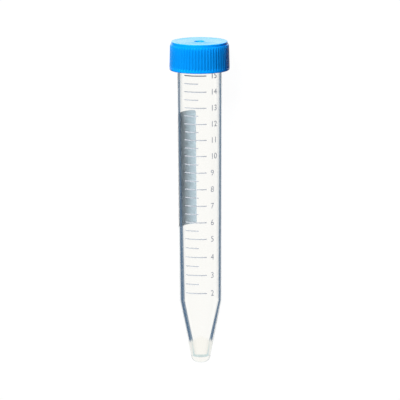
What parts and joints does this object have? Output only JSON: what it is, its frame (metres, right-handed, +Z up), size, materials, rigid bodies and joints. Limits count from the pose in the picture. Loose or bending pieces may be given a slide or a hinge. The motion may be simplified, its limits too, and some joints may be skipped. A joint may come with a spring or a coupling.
{
  "type": "15 ml conical tube",
  "caption": "Clear conical-bottom sample tube with printed volume scale, writing patch and a ribbed blue screw cap, lying on its side.",
  "frame": {"origin": "on the surface it lies on, under the middle of its bounding box", "axes": "+Y along the tube from the tip towards the cap (the axis rises 2.2 degrees towards the cap), +Z up out of the surface and out of the volume scale, +X to the right when the scale is read with the cap at the top"},
  "size_m": [0.0224, 0.1214, 0.0224],
  "materials": {
    "clear_plastic": "clear polished moulded plastic",
    "cap_plastic": "opaque satin moulded plastic",
    "grey_print": "thin screen print",
    "white_print": "thin matt writing patch"
  },
  "bodies": {
    "tube": {"tube": "clear_plastic", "graduation_lines": "grey_print", "graduation_numbers": "grey_print", "writing_patch": "white_print"},
    "cap": {"cap": "cap_plastic"}
  },
  "joints": [
    {"name": "cap_lift", "type": "slide", "parent": "tube", "child": "cap", "axis": [0, 0.9993, 0.0383], "range_m": [0, 0.025]}
  ]
}
